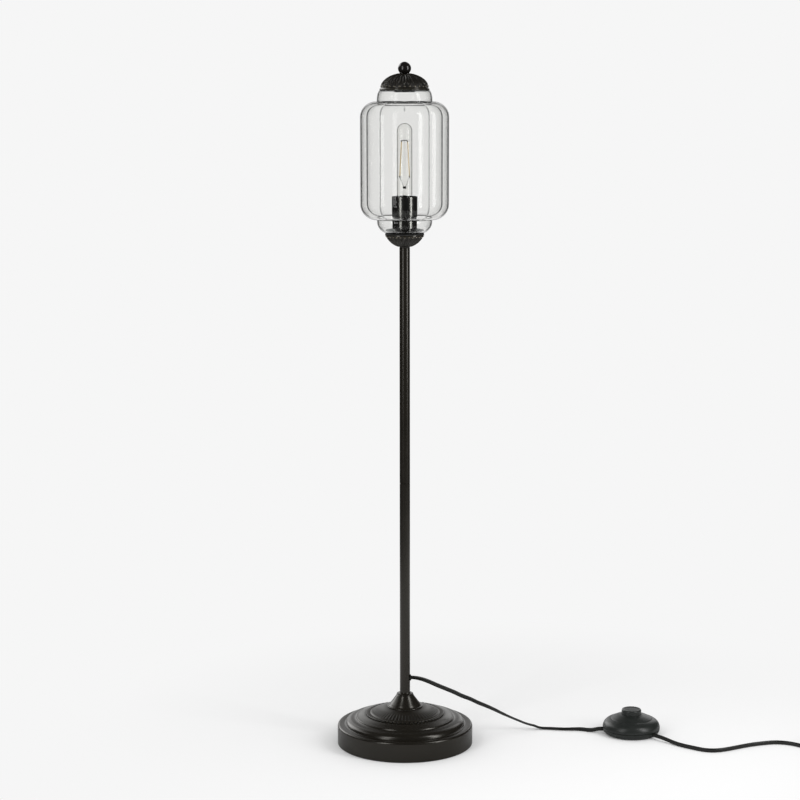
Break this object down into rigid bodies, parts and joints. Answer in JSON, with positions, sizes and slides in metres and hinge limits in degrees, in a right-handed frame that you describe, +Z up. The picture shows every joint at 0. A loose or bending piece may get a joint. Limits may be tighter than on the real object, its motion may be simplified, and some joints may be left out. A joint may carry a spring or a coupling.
{
  "type": "floor lamp",
  "caption": "Floor lamp with a round stepped base, a plain tube and a clear lobed glass lantern with a lift-off cap, a screw-in tube bulb and a lead with a round foot switch.",
  "frame": {"origin": "centre of the round base on the floor", "axes": "+Z up along the tube, -Y to the front, where one lobe of the glass faces; +X to the side where the lead leaves the tube"},
  "size_m": [0.9905, 0.252, 1.261],
  "materials": {
    "bronze_paint": "satin",
    "bronze_paint_dark": "satin",
    "cast_iron": "rough cast",
    "pad_rubber": "matt",
    "zinc_steel": "zinc plated",
    "clear_glass": "clear, blown",
    "bulb_glass": "clear, thin",
    "holder_metal": "gloss",
    "holder_core": "moulded, cream",
    "brass": "bare",
    "filament": "yellow phosphor coat",
    "wire": "drawn",
    "bulb_cap": "rolled thread, bright",
    "insulator": "glass seal, black",
    "cord": "soft, matt",
    "plug_plastic": "moulded",
    "pin_metal": "nickel plated",
    "switch_plastic": "satin",
    "button_plastic": "satin",
    "spring_steel": "drawn"
  },
  "bodies": {
    "stand": {"base_shell": "bronze_paint", "base_weight": "cast_iron", "base_pad": "pad_rubber", "base_stud": "zinc_steel", "base_nut": "zinc_steel", "base_washer": "zinc_steel", "rosette": "bronze_paint", "bell": "bronze_paint", "lower_tube": "bronze_paint", "upper_tube": "bronze_paint", "joint_sleeve": "zinc_steel", "tube_foot_plug": "zinc_steel", "tube_head_plug": "zinc_steel", "cord_bushing": "plug_plastic", "head_pipe": "zinc_steel", "cup": "bronze_paint", "glass_pad": "pad_rubber", "glass": "clear_glass", "seat_washer": "bronze_paint_dark", "holder_skirt": "holder_metal", "holder_nut": "zinc_steel", "holder_core": "holder_core", "thread_shell": "brass", "centre_contact": "brass", "holder_sleeve": "holder_metal", "cap_pad": "pad_rubber", "inner_cord": "cord", "cord_lead": "cord", "cord_tail": "cord", "cord_coil": "cord", "cord_end": "cord", "plug_body": "plug_plastic", "plug_pins": "pin_metal", "switch_base": "switch_plastic", "switch_cover": "switch_plastic", "switch_spring": "spring_steel", "switch_contacts": "brass", "switch_clamps": "plug_plastic", "switch_screws": "zinc_steel"},
    "bulb": {"bulb_glass": "bulb_glass", "bulb_stem": "bulb_glass", "filaments": "filament", "filament_wires": "wire", "bulb_cap": "bulb_cap", "bulb_insulator": "insulator", "bulb_contact": "bulb_cap"},
    "cap": {"cap_dome": "bronze_paint", "cap_plate": "bronze_paint_dark", "cap_boss": "bronze_paint_dark", "cap_stud": "zinc_steel", "ball_finial": "bronze_paint"},
    "button": {"switch_button": "button_plastic"}
  },
  "joints": [
    {"name": "switch_press", "type": "slide", "parent": "stand", "child": "button", "axis": [0, 0, -1], "range_m": [0, 0.003], "stiffness_N_per_m": 400, "springref_m": -0.003, "deforming": ["switch_spring"]},
    {"name": "bulb_turn", "type": "hinge", "parent": "stand", "child": "bulb", "pos_m": [0, 0, 0.984], "axis": [0, 0, 1], "range_deg": [0, 1080]},
    {"name": "cap_lift", "type": "slide", "parent": "stand", "child": "cap", "axis": [0, 0, 1], "range_m": [0, 0.06]}
  ]
}
